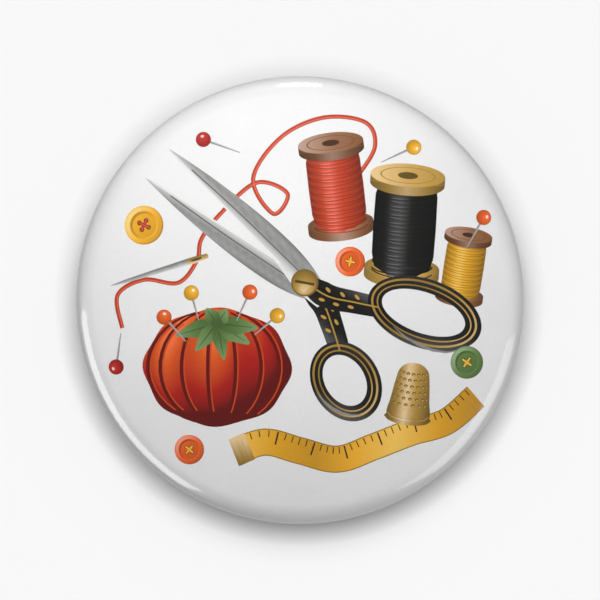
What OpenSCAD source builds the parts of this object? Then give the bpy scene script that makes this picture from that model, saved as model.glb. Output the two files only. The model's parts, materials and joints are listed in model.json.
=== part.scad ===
// Round pin-back button badge: printed paper disc under clear film, crimped over
// a pressed tinplate shell, with a lanced back plate that carries a one-piece
// spring-wire pin. Millimetres. The badge stands as it is worn: +Z is the top of
// the print, the face looks along -Y, and the origin is the middle of the pin's shank.

/* [Badge body] */
// Diameter over the film
badge_d = 58; // [54:0.5:70]
// Rise of the domed face above its rolled shoulder
dome_rise = 1.4; // [0.5:0.1:2]
// Radius of the rolled shoulder round the face
shoulder_r = 3; // [2:0.1:4]
// Straight depth between the shoulder and the curl
skirt_h = 0.3; // [0.2:0.1:2]
// Outer radius of the curl that grips the back plate
curl_r = 1.1; // [0.9:0.05:1.6]
// Angle that the shell's edge is rolled through
curl_wrap = 200; // [190:1:210]

/* [Layers] */
// Thickness of the clear film
film_t = 0.06; // [0.04:0.01:0.1]
// Thickness of the printed paper
paper_t = 0.1; // [0.08:0.01:0.15]
// Thickness of the front shell's tinplate
shell_t = 0.25; // [0.2:0.01:0.3]
// Gap left between one layer and the next
layer_gap = 0.03; // [0.02:0.01:0.05]

/* [Back plate] */
// Thickness of the back plate's tinplate
plate_t = 0.3; // [0.2:0.05:0.4]
// How far the plate lies in front of the curl's hindmost edge
plate_recess = 0.6; // [0.4:0.05:0.8]
// Gap between the plate's rim and the curl that holds it
rim_gap = 0.05; // [0.05:0.01:0.1]
// Gap between the plate's flange and the rolled edge behind it
flange_gap = 0.2; // [0.15:0.05:0.4]
// Bend radius of the plate's stepped rim, at mid thickness
step_r = 0.5; // [0.4:0.05:0.55]
// Distance from the plate's stepped rim in to the stiffening bead
bead_inset = 3.6; // [3:0.1:5]
// Bend radius of the stiffening bead, at mid thickness
bead_r = 0.6; // [0.5:0.05:0.8]
// Angle of the stiffening bead's sides
bead_slope = 42; // [30:1:50]

/* [Pin wire] */
// Wire diameter
wire_d = 0.8; // [0.7:0.05:1]
// Length of the pin's straight shank
shank_l = 30; // [24:0.5:32]
// Length of the first, slight taper of the point
taper_l = 3; // [2:0.25:4]
// Length of the sharp end of the point
tip_l = 2; // [1.5:0.25:3]
// Share of the wire's diameter left where the sharp end starts
taper_share = 0.65; // [0.5:0.05:0.8]
// Diameter of the very tip
tip_d = 0.06; // [0.04:0.01:0.1]
// Distance between the pin's shank and the fixed leg
leg_gap = 9; // [7.5:0.25:11]
// Bend radius of the wire's corners, at the wire's middle
bend_r = 1.6; // [1.2:0.1:2.2]
// Height of the shank's axis above the back plate
leg_standoff = 1.5; // [1.4:0.05:1.9]
// Gap between the fixed leg and the plate it lies on
seat_gap = 0.02; // [0.01:0.01:0.05]
// Gap between the last bridge and the bend at the fixed leg's end
kick_gap = 0.5; // [0.2:0.1:1.5]
// Straight end of the fixed leg, past its last bend
kick_l = 1.2; // [0.5:0.1:2]

/* [Catch and bridges] */
// Width of the catch along the pin
catch_w = 5; // [4:0.25:7]
// Gap between the shank's end and the catch
catch_inset = 0.5; // [0.4:0.1:1.5]
// Gap between the pin and the catch's curl
catch_gap = 0.15; // [0.1:0.05:0.3]
// Length of the catch's lip past the curl
lip_l = 1.2; // [0.8:0.1:1.6]
// How far the lip flares away from the plate
lip_flare = 0.35; // [0.3:0.05:0.6]
// Width of each bridge along the fixed leg
bridge_w = 3; // [2:0.25:4]
// Distance between the two bridges' middles
bridge_span = 20; // [16:0.5:22]
// Gap between the fixed leg and its bridges
bridge_gap = 0.05; // [0.03:0.01:0.1]
// Width of the slits beside each raised tab
slit_w = 0.15; // [0.1:0.05:0.25]
// Height of the shank above the middle of the badge
pin_drop = 6; // [4:0.5:8]

/* [Hidden] */
$fn = 96;

dome_steps = 10;
shoulder_steps = 14;
curl_steps = 22;
step_steps = 8;
bead_steps = 5;

film_c = [0.93, 0.96, 0.98, 0.3];
print_c = [0.96, 0.96, 0.95];
tin_c = [0.78, 0.78, 0.77];
wire_c = [0.72, 0.72, 0.73];

// Depth of each layer's outer face below the film's outer face
paper_in = film_t + layer_gap;
shell_in = paper_in + paper_t + layer_gap;
stack_t = shell_in + shell_t;

// Heights along the badge's own axis, which runs from the shank's axis towards the face
plate_z = leg_standoff;
curl_z = plate_z - plate_recess + curl_r;
shoulder_z = curl_z + skirt_h;
badge_r = badge_d / 2;

// The dome is an arc tangent to the shoulder's arc
dome_run = badge_r - shoulder_r;
dome_rho = (dome_run * dome_run + dome_rise * dome_rise) / (2 * dome_rise);
dome_r = dome_rho + shoulder_r;
dome_z = shoulder_z + shoulder_r + dome_rise - dome_r;
dome_a = asin(dome_run / dome_rho);

// The back plate's rim steps in front of the curl and reaches out to just inside the shell's shoulder
step_at = badge_r - 2 * curl_r - rim_gap - plate_t / 2;
flange_z = curl_z + curl_r * sin(curl_wrap - 180) + flange_gap + plate_t / 2;
flange_rise = max(0, flange_z + plate_t / 2 - shoulder_z);
flange_end = dome_run + sqrt(pow(shoulder_r - stack_t, 2) - pow(flange_rise, 2)) - rim_gap;
bead_at = step_at - bead_inset;
bead_half = 2 * bead_r * sin(bead_slope);
plate_mid = plate_z + plate_t / 2;

// The wire is a flat U that leans back from the plate, from its fixed leg to the shank
wire_r = wire_d / 2;
lean = asin((leg_standoff - wire_r - seat_gap) / leg_gap);
fixed_y = -leg_gap * sin(lean);
fixed_z = -leg_gap * cos(lean);
base_x = -shank_l / 2 - bend_r;
base_half = leg_gap / 2 - bend_r;

// The catch starts past the shank, and the badge is centred between the U and the catch
catch_x = shank_l / 2 + catch_inset;
catch_in = wire_r + catch_gap;
catch_out = catch_in + plate_t;
catch_cut = leg_standoff + (catch_in + plate_t / 2) * PI / 2 + lip_l;
badge_x = (base_x - wire_r + catch_x + catch_w) / 2;
bridge_in = wire_r + bridge_gap;
bridge_out = bridge_in + plate_t;
kick_x = badge_x + bridge_span / 2 + bridge_w / 2 + kick_gap;

// Points along an arc about c, from angle a0 to a1, in n steps, from point number first
function arc(c, r, a0, a1, n, first = 0) =
    [for (i = [first : n]) let (a = a0 + (a1 - a0) * i / n) c + r * [cos(a), sin(a)]];

// A list of points in the opposite order
function backwards(list) = [for (i = [len(list) - 1 : -1 : 0]) list[i]];

// The body's outline at depth d below the film's outer face, from the middle of the dome to the curl's end
function body_line(d) = concat(
    arc([0, dome_z], dome_r - d, 90, 90 - dome_a, dome_steps),
    arc([badge_r - shoulder_r, shoulder_z], shoulder_r - d, 90 - dome_a, 0, shoulder_steps, 1),
    arc([badge_r - curl_r, curl_z], curl_r - d, 0, -curl_wrap, curl_steps)
);

// One bend of the back plate at offset d towards the face: an anticlockwise bend tightens, a clockwise one opens
function bend(c, r, a0, a1, d, n, first = 0) = arc(c, r - d * sign(a1 - a0), a0, a1, n, first);

// The back plate's outline at offset d towards the face, from its middle through bead and step to the flange
function plate_line(d) = concat(
    [[0, plate_mid + d]],
    bend([bead_at - bead_half, plate_mid - bead_r], bead_r, 90, 90 - bead_slope, d, bead_steps),
    bend([bead_at, plate_mid - bead_r + 2 * bead_r * cos(bead_slope)], bead_r,
        -90 - bead_slope, -90 + bead_slope, d, 2 * bead_steps, 1),
    bend([bead_at + bead_half, plate_mid - bead_r], bead_r, 90 + bead_slope, 90, d, bead_steps, 1),
    bend([step_at - step_r, plate_mid + step_r], step_r, -90, 0, d, step_steps),
    bend([step_at + step_r, flange_z - step_r], step_r, 180, 90, d, step_steps),
    [[flange_end, flange_z + d]]
);

// Stands a turned piece upright, with its axis through the badge's middle and its face towards -Y
module on_badge() {
    translate([badge_x, 0, -pin_drop]) rotate([90, 0, 0]) rotate_extrude() children();
}

// Extrudes an outline along the pin, from x for a length w: its points are (down, out from the plate)
module along_pin(x, w) {
    translate([x, 0, 0]) rotate([0, 90, 0]) linear_extrude(w) children();
}

// A layer of the body, of thickness t, whose outer face is at depth d
module body_layer(d, t) {
    on_badge() polygon(concat(body_line(d), backwards(body_line(d + t))));
}

// Leans the flat wire frame back from the plate about the shank's axis
module in_wire_plane() {
    rotate([-lean, 0, 0]) children();
}

// A quarter bend of the wire about centre (x, z), from angle a anticlockwise seen from the front
module wire_bend(x, z, a) {
    translate([x, 0, z]) rotate([90, 0, 0]) rotate([0, 0, a])
        rotate_extrude(angle = 90) translate([bend_r, 0]) circle(wire_r);
}

// A straight length of wire along +X from (x, z)
module wire_along(x, z, l) {
    translate([x, 0, z]) rotate([0, 90, 0]) cylinder(h = l, r = wire_r);
}

// A straight length of wire up from (x, z)
module wire_up(x, z, l) {
    translate([x, 0, z]) cylinder(h = l, r = wire_r);
}

// An arch of radius r over the fixed leg, whose sides run to a depth below the plate's back
module arch(r, depth) {
    translate([-fixed_z, fixed_y]) {
        circle(r);
        translate([-r, -leg_standoff - fixed_y - depth]) square([2 * r, leg_standoff + fixed_y + depth]);
    }
}

// A raised bridge that holds the fixed leg, at middle x
module bridge(x) {
    along_pin(x - bridge_w / 2, bridge_w) arch(bridge_out, plate_t / 2);
}

// The room for the leg under a bridge, and the hole that the bridge was raised from
module bridge_hole(x) {
    along_pin(x - bridge_w / 2 - slit_w, bridge_w + 2 * slit_w) arch(bridge_in, 2 * plate_t);
}

// The catch: a tab that stands out below the pin and curls behind it, open at the top
module pin_catch() {
    along_pin(catch_x, catch_w) {
        translate([catch_in, -leg_standoff - plate_t / 2]) square([plate_t, leg_standoff + plate_t / 2]);
        difference() {
            intersection() {
                circle(catch_out);
                square(catch_out);
            }
            circle(catch_in);
        }
        polygon([[0, catch_in], [-lip_l, catch_in + lip_flare], [-lip_l, catch_out + lip_flare], [0, catch_out]]);
    }
}

// The hole that the catch was raised from
module catch_hole() {
    along_pin(catch_x - slit_w, catch_w + 2 * slit_w)
        translate([catch_in - catch_cut, -leg_standoff - 2 * plate_t]) square([catch_cut, 3 * plate_t]);
}

module clear_film() {
    color(film_c) body_layer(0, film_t);
}

module printed_disc() {
    color(print_c) body_layer(paper_in, paper_t);
}

module front_shell() {
    color(tin_c) body_layer(shell_in, shell_t);
}

module back_plate() {
    color(tin_c) difference() {
        union() {
            on_badge() polygon(concat(plate_line(-plate_t / 2), backwards(plate_line(plate_t / 2))));
            for (side = [-1, 1]) bridge(badge_x + side * bridge_span / 2);
            pin_catch();
        }
        for (side = [-1, 1]) bridge_hole(badge_x + side * bridge_span / 2);
        catch_hole();
    }
}

// The fixed part of the wire: half the U's base, its lower corner, the fixed leg and its turned-up end
module wire_anchor() {
    color(wire_c) in_wire_plane() {
        wire_up(base_x, -leg_gap + bend_r, base_half);
        wire_bend(-shank_l / 2, -leg_gap + bend_r, 180);
        wire_along(-shank_l / 2, -leg_gap, kick_x + shank_l / 2);
        wire_bend(kick_x, -leg_gap + bend_r, 270);
        wire_up(kick_x + bend_r, -leg_gap + bend_r, kick_l);
    }
}

// The half of the U's base that turns as the pin swings out
module wire_hinge() {
    color(wire_c) in_wire_plane() wire_up(base_x, -leg_gap / 2, base_half);
}

// The pin: its corner, straight shank and two-stage point
module pin_leg() {
    color(wire_c) in_wire_plane() {
        wire_bend(-shank_l / 2, -bend_r, 90);
        wire_along(-shank_l / 2, 0, shank_l);
        translate([shank_l / 2, 0, 0]) rotate([0, 90, 0]) {
            cylinder(h = taper_l, r1 = wire_r, r2 = wire_r * taper_share);
            translate([0, 0, taper_l]) cylinder(h = tip_l, r1 = wire_r * taper_share, r2 = tip_d / 2);
        }
    }
}

clear_film();
printed_disc();
front_shell();
back_plate();
wire_anchor();
wire_hinge();
pin_leg();
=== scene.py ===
"""Looks of a pin-back button badge: printed paper, clear film, tinplate and wire, around the CAD frame."""

import json
import math

import bpy
from bpy.props import FloatProperty
from bpy.props import FloatVectorProperty
from bpy.props import IntProperty
from bpy.props import PointerProperty
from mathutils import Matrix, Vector
from mathutils.geometry import delaunay_2d_cdt

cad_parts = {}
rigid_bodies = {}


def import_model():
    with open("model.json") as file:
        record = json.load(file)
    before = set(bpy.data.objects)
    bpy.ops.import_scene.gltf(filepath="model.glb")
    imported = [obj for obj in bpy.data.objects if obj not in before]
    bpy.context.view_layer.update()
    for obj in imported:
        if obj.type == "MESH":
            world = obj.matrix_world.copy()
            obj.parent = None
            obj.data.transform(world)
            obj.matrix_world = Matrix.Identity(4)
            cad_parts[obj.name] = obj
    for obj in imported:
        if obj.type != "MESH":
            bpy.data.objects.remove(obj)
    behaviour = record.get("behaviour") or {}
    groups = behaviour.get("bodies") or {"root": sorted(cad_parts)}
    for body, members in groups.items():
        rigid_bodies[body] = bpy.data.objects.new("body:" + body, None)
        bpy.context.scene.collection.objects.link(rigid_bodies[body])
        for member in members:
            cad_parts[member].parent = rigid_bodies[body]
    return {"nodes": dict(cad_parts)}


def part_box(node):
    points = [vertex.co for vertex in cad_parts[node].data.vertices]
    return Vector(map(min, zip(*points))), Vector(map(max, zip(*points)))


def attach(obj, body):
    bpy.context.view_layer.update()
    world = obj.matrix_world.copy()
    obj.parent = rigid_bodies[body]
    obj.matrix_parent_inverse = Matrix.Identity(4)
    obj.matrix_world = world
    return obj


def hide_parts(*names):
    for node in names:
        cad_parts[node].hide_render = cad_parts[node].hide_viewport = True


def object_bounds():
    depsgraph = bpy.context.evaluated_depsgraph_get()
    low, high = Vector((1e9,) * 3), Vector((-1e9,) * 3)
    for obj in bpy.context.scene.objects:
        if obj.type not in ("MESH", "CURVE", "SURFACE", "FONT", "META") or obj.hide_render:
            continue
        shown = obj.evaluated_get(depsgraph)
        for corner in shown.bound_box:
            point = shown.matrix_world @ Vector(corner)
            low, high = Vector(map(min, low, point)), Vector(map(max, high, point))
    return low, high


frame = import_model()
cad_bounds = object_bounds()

bl_info = {
    "name": "Button badge finish",
    "version": (1, 0, 0),
    "blender": (4, 5, 0),
    "location": "View3D > Sidebar > Badge",
    "description": "Makes the print, film, metal finishes and stage of a pin-back button badge",
    "category": "Object",
}

MM = 0.001


def linear(colour_hex):
    """Linear red, green and blue of an sRGB hex colour."""
    shares = [int(colour_hex[i:i + 2], 16) / 255 for i in (1, 3, 5)]
    return tuple(c / 12.92 if c <= 0.04045 else ((c + 0.055) / 1.055) ** 2.4 for c in shares)


# ---------------------------------------------------------------- sizes and colours


class BadgeBodySizes(bpy.types.PropertyGroup):
    """Section of the wrapped body. The diameter and the height come from the CAD film."""
    dome_rise: FloatProperty(name="Dome rise", description="Height of the face's middle over its shoulder",
                             default=1.4 * MM, unit="LENGTH", precision=5)
    shoulder_radius: FloatProperty(name="Shoulder radius", description="Roll where the face turns back",
                                   default=3.0 * MM, unit="LENGTH", precision=5)
    skirt_height: FloatProperty(name="Skirt height", description="Straight wall between roll and curl",
                                default=0.3 * MM, unit="LENGTH", precision=5)
    curl_radius: FloatProperty(name="Curl radius", description="Rolled edge at the back, over the film",
                               default=1.1 * MM, unit="LENGTH", precision=5)
    curl_wrap: FloatProperty(name="Curl wrap", description="How far the edge is rolled in",
                             default=math.radians(200), subtype="ANGLE")
    film_thickness: FloatProperty(name="Film thickness", description="Clear polyester over the print",
                                  default=0.06 * MM, unit="LENGTH", precision=5)
    paper_thickness: FloatProperty(name="Paper thickness", description="Printed paper under the film",
                                   default=0.1 * MM, unit="LENGTH", precision=5)
    layer_gap: FloatProperty(name="Layer gap", description="Room left between two layers of the CAD",
                             default=0.03 * MM, unit="LENGTH", precision=5)
    pucker_height: FloatProperty(name="Pucker height", description="Gathers of film and paper on the curl",
                                 default=0.13 * MM, unit="LENGTH", precision=5)
    pucker_count: IntProperty(name="Puckers", description="Gathers round the whole curl", default=74)


class PrintInks(bpy.types.PropertyGroup):
    """Inks of the sewing-things print."""
    paper_white: FloatVectorProperty(name="Paper", description="Bare coated paper", subtype="COLOR",
                                     default=linear("#F1F1F1"), min=0, max=1)
    black: FloatVectorProperty(name="Black", description="Japanned handles and black thread",
                               subtype="COLOR", default=linear("#1B1A19"), min=0, max=1)
    gold: FloatVectorProperty(name="Gold", description="Gold lines, thimble and spool ends",
                              subtype="COLOR", default=linear("#B8923F"), min=0, max=1)
    steel: FloatVectorProperty(name="Steel", description="Blades, needle and pins", subtype="COLOR",
                               default=linear("#9A9B98"), min=0, max=1)
    wood: FloatVectorProperty(name="Wood", description="Turned spool ends", subtype="COLOR",
                              default=linear("#84552F"), min=0, max=1)
    red: FloatVectorProperty(name="Red", description="Pincushion and red thread", subtype="COLOR",
                             default=linear("#B5190F"), min=0, max=1)
    orange: FloatVectorProperty(name="Orange", description="Loose thread, pin heads and a button",
                                subtype="COLOR", default=linear("#E4601A"), min=0, max=1)
    yellow: FloatVectorProperty(name="Yellow", description="Tape, yellow thread and pin heads",
                                subtype="COLOR", default=linear("#E9AB22"), min=0, max=1)
    green: FloatVectorProperty(name="Green", description="Felt leaves and a button", subtype="COLOR",
                               default=linear("#5F7F42"), min=0, max=1)


class MetalFinish(bpy.types.PropertyGroup):
    """Finish of the tinplate and of the wire."""
    tin_colour: FloatVectorProperty(name="Tinplate", description="Bright rolled tinplate", subtype="COLOR",
                                    default=linear("#BFC0BF"), min=0, max=1)
    tin_roughness: FloatProperty(name="Tinplate roughness", description="Gloss of the rolled tin",
                                 default=0.3, min=0, max=1, subtype="FACTOR")
    nickel_colour: FloatVectorProperty(name="Nickel", description="Nickel-plated wire", subtype="COLOR",
                                       default=linear("#D6D2CA"), min=0, max=1)
    nickel_roughness: FloatProperty(name="Nickel roughness", description="Gloss of the drawn wire",
                                    default=0.2, min=0, max=1, subtype="FACTOR")


class StageSettings(bpy.types.PropertyGroup):
    """Backdrop, camera and lamps."""
    backdrop_colour: FloatVectorProperty(name="Backdrop", description="Plain pale board", subtype="COLOR",
                                         default=linear("#F8F8F8"), min=0, max=1)
    backdrop_gap: FloatProperty(name="Backdrop gap", description="Room between the pin and the board",
                                default=0.15 * MM, unit="LENGTH", precision=5)
    view_width: FloatProperty(name="View width", description="What the frame takes in at the rim",
                              default=77.7 * MM, unit="LENGTH", precision=4)
    lens: FloatProperty(name="Lens", description="Focal length on a 36 mm sensor", default=135, min=20)
    fill: FloatProperty(name="Fill", description="Even light from all round", default=0.28, min=0)
    key_power: FloatProperty(name="Key", description="Soft lamp above the face", default=0.0605, min=0,
                             unit="POWER")


# ---------------------------------------------------------------- body section


class LayerSection:
    """Section of one wrapped layer, inset from the film's outer face, by distance from the middle."""

    def __init__(self, inset):
        sizes = bpy.context.scene.badge_body
        low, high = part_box("clear_film")
        self.x = (low[0] + high[0]) / 2
        self.z = (low[2] + high[2]) / 2
        self.apex = low[1]
        self.inset = inset
        radius = (high[0] - low[0]) / 2
        self.roll = sizes.shoulder_radius
        self.roll_at = radius - self.roll
        self.roll_depth = self.apex + sizes.dome_rise + self.roll
        drop = self.roll_depth - self.apex
        self.dome = (self.roll_at ** 2 + drop ** 2 - self.roll ** 2) / (2 * (drop - self.roll))
        self.dome_angle = math.asin(self.roll_at / (self.dome - self.roll))
        self.skirt = sizes.skirt_height
        self.curl = sizes.curl_radius
        self.curl_at = radius - self.curl
        self.wrap = sizes.curl_wrap
        self.face_run = (self.dome - inset) * self.dome_angle
        self.roll_run = self.face_run + (self.roll - inset) * (math.pi / 2 - self.dome_angle)
        self.skirt_run = self.roll_run + self.skirt
        self.full_run = self.skirt_run + (self.curl - inset) * self.wrap
        self.pucker_height = sizes.pucker_height
        self.pucker_count = sizes.pucker_count

    def point(self, run, angle):
        """Place and outward normal, run metres from the middle towards angle."""
        if run <= self.face_run:
            tilt = run / (self.dome - self.inset)
            out = (self.dome - self.inset) * math.sin(tilt)
            depth = self.apex + self.dome - (self.dome - self.inset) * math.cos(tilt)
            normal = (math.sin(tilt), -math.cos(tilt))
        elif run <= self.roll_run:
            tilt = self.dome_angle + (run - self.face_run) / (self.roll - self.inset)
            out = self.roll_at + (self.roll - self.inset) * math.sin(tilt)
            depth = self.roll_depth - (self.roll - self.inset) * math.cos(tilt)
            normal = (math.sin(tilt), -math.cos(tilt))
        elif run <= self.skirt_run:
            out = self.roll_at + self.roll - self.inset
            depth = self.roll_depth + run - self.roll_run
            normal = (1.0, 0.0)
        else:
            turn = (run - self.skirt_run) / (self.curl - self.inset)
            reach = self.curl - self.inset + self.pucker(turn, angle)
            out = self.curl_at + reach * math.cos(turn)
            depth = self.roll_depth + self.skirt + reach * math.sin(turn)
            normal = (math.cos(turn), math.sin(turn))
        place = Vector((self.x + out * math.cos(angle), depth, self.z + out * math.sin(angle)))
        facing = Vector((normal[0] * math.cos(angle), normal[1], normal[0] * math.sin(angle)))
        if run > self.skirt_run:
            # The slopes of the gathers along the section and round it turn the normal.
            small = 0.002
            rise = self.pucker(turn + small, angle) - self.pucker(turn - small, angle)
            rise /= 2 * small * reach
            lean = self.pucker(turn, angle + small) - self.pucker(turn, angle - small)
            lean /= 2 * small * out
            along = Vector((-normal[1] * math.cos(angle), normal[0], -normal[1] * math.sin(angle)))
            beside = Vector((-math.sin(angle), 0.0, math.cos(angle)))
            facing = (facing - along * rise - beside * lean).normalized()
        return place, facing

    def pucker(self, turn, angle):
        """Height of the gathers, which start behind the rim and are full at the back of the curl."""
        share = min(max((turn - 0.5) / 1.0, 0.0), 1.0)
        phase = self.pucker_count * angle + 1.1 * math.sin(5 * angle) + 0.7 * math.sin(11 * angle + 1)
        uneven = 0.7 + 0.3 * math.sin(3 * angle + 0.6)
        crest = max(0.0, math.sin(phase)) ** 1.4
        return self.pucker_height * share * share * (3 - 2 * share) * uneven * crest

    def runs(self, face_steps, roll_steps, skirt_steps, curl_steps):
        """Distances of the rings: few on the dome, close on the roll and the curl."""
        ends = (0.0, self.face_run, self.roll_run, self.skirt_run, self.full_run)
        steps = (face_steps, roll_steps, skirt_steps, curl_steps)
        rings = []
        for start, end, count in zip(ends, ends[1:], steps):
            rings += [start + (end - start) * i / count for i in range(1, count + 1)]
        return rings


# Points round one ring of the wrapped layers: about one every 0.4 mm at the rim.
ROUND = 432
# Rings of points on the print's roll, and rings on a layer's curl.
ROLL_RINGS = 18
CURL_RINGS = 22
# Millimetres between the points that carry the print's dome.
DOME_STEP = 0.7


def ring_of(section, run, verts, normals, facing=1.0):
    """Adds one ring of points, and returns their numbers."""
    first = len(verts)
    for i in range(ROUND):
        place, normal = section.point(run, 2 * math.pi * i / ROUND)
        verts.append(place)
        normals.append(normal * facing)
    return list(range(first, first + ROUND))


def join_rings(ring_a, ring_b, faces):
    """Faces between two rings, facing outwards when ring_b is further along the section."""
    for i in range(ROUND):
        j = (i + 1) % ROUND
        faces.append((ring_b[i], ring_b[j], ring_a[j], ring_a[i]))


def add_piece(name, verts, faces, normals, material):
    """A mesh object with smooth faces and its own normals, in the frame's place."""
    mesh = bpy.data.meshes.new(name)
    mesh.from_pydata([tuple(v) for v in verts], [], faces)
    mesh.polygons.foreach_set("use_smooth", [True] * len(mesh.polygons))
    mesh.validate(clean_customdata=False)
    mesh.normals_split_custom_set_from_vertices([tuple(n) for n in normals])
    mesh.materials.append(material)
    piece = bpy.data.objects.new(name, mesh)
    bpy.context.scene.collection.objects.link(piece)
    return piece


# ---------------------------------------------------------------- drawing kit for the print


def mix_inks(ink_a, ink_b, share):
    """Ink between two inks."""
    share = min(max(share, 0.0), 1.0)
    return tuple(a + (b - a) * share for a, b in zip(ink_a, ink_b))


def tone(ink, lift):
    """The ink lighter (lift above 0) or darker (below 0), and still strong in colour."""
    if lift <= 0:
        return mix_inks(ink, (0, 0, 0), -lift)
    strong = tuple(min(1.0, c * (1 + 1.3 * lift)) for c in ink)
    return mix_inks(strong, (1, 1, 1), lift ** 2.2)


def shades(ink, *lifts):
    """Stops of one ink, one for each lift."""
    return [tone(ink, lift) for lift in lifts]


def across(stops, x0, y0, x1, y1):
    """Ink that runs through the stops from one point to another."""
    length = (x1 - x0) ** 2 + (y1 - y0) ** 2

    def ink(x, y):
        share = ((x - x0) * (x1 - x0) + (y - y0) * (y1 - y0)) / length
        return ink_at(stops, share)
    return ink


def around(stops, x0, y0, reach):
    """Ink that runs through the stops outwards from a point."""
    def ink(x, y):
        return ink_at(stops, math.hypot(x - x0, y - y0) / reach)
    return ink


def ink_at(stops, share):
    """Ink at a share of the way through evenly spaced stops."""
    share = min(max(share, 0.0), 1.0) * (len(stops) - 1)
    index = min(int(share), len(stops) - 2)
    return mix_inks(stops[index], stops[index + 1], share - index)


def ellipse(x, y, wide, high, turn=0.0, points=40):
    """Outline of an ellipse by its half width and half height."""
    outline = []
    for i in range(points):
        a = 2 * math.pi * i / points
        u = wide * math.cos(a)
        v = high * math.sin(a)
        outline.append((x + u * math.cos(turn) - v * math.sin(turn),
                        y + u * math.sin(turn) + v * math.cos(turn)))
    return outline


def smooth(points, closed=True, steps=7):
    """Smooth line through the points."""
    count = len(points)
    line = []
    for i in range(count if closed else count - 1):
        if closed:
            p = [points[(i + k) % count] for k in (-1, 0, 1, 2)]
        else:
            p = [points[min(max(i + k, 0), count - 1)] for k in (-1, 0, 1, 2)]
        for s in range(steps):
            t = s / steps
            line.append(tuple(
                0.5 * (2 * p[1][c] + (p[2][c] - p[0][c]) * t
                       + (2 * p[0][c] - 5 * p[1][c] + 4 * p[2][c] - p[3][c]) * t * t
                       + (3 * p[1][c] - p[0][c] - 3 * p[2][c] + p[3][c]) * t ** 3)
                for c in (0, 1)))
    if not closed:
        line.append(tuple(points[-1]))
    return line


def side_points(line, offset):
    """The line moved sideways by an offset, a number or a function of the share run."""
    moved = []
    last = len(line) - 1
    for i, (x, y) in enumerate(line):
        ax, ay = line[max(i - 1, 0)]
        bx, by = line[min(i + 1, last)]
        length = math.hypot(bx - ax, by - ay)
        shift = offset(i / last) if callable(offset) else offset
        moved.append((x - (by - ay) / length * shift, y + (bx - ax) / length * shift))
    return moved


def ribbon(line, left, right=None):
    """Quads along a line, between two sideways offsets."""
    if right is None:
        right = (lambda share: -left(share)) if callable(left) else -left
    a = side_points(line, left)
    b = side_points(line, right)
    return [[a[i], a[i + 1], b[i + 1], b[i]] for i in range(len(line) - 1)]


class Sheet:
    """The print: patches of ink, from the back to the front, in millimetres from the middle."""

    def __init__(self):
        self.patches = []

    def motif(self, x, y, turn=0.0, size=1.0):
        """A drawing placed on the sheet."""
        return Motif(self, x, y, math.radians(turn), size)


class Motif:
    """One drawing: its patches are given in its own millimetres, turned and placed on the sheet."""

    def __init__(self, sheet, x, y, turn, size):
        self.sheet = sheet
        self.x = x
        self.y = y
        self.cos = math.cos(turn) * size
        self.sin = math.sin(turn) * size
        self.square = size * size

    def out(self, point):
        """Place on the sheet of a point of the drawing."""
        x, y = point
        return self.x + x * self.cos - y * self.sin, self.y + x * self.sin + y * self.cos

    def lay(self, shapes, ink, holes=()):
        """Lays one patch of ink: shapes is a list of outlines, ink a colour or a function of place."""
        def ink_on_sheet(x, y):
            if not callable(ink):
                return ink
            dx = x - self.x
            dy = y - self.y
            return ink((dx * self.cos + dy * self.sin) / self.square,
                       (dy * self.cos - dx * self.sin) / self.square)
        placed = [[self.out(p) for p in shape] for shape in shapes]
        cut = [[self.out(p) for p in shape] for shape in holes]
        self.sheet.patches.append((placed, cut, ink_on_sheet))


# ---------------------------------------------------------------- sewing things


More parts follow.
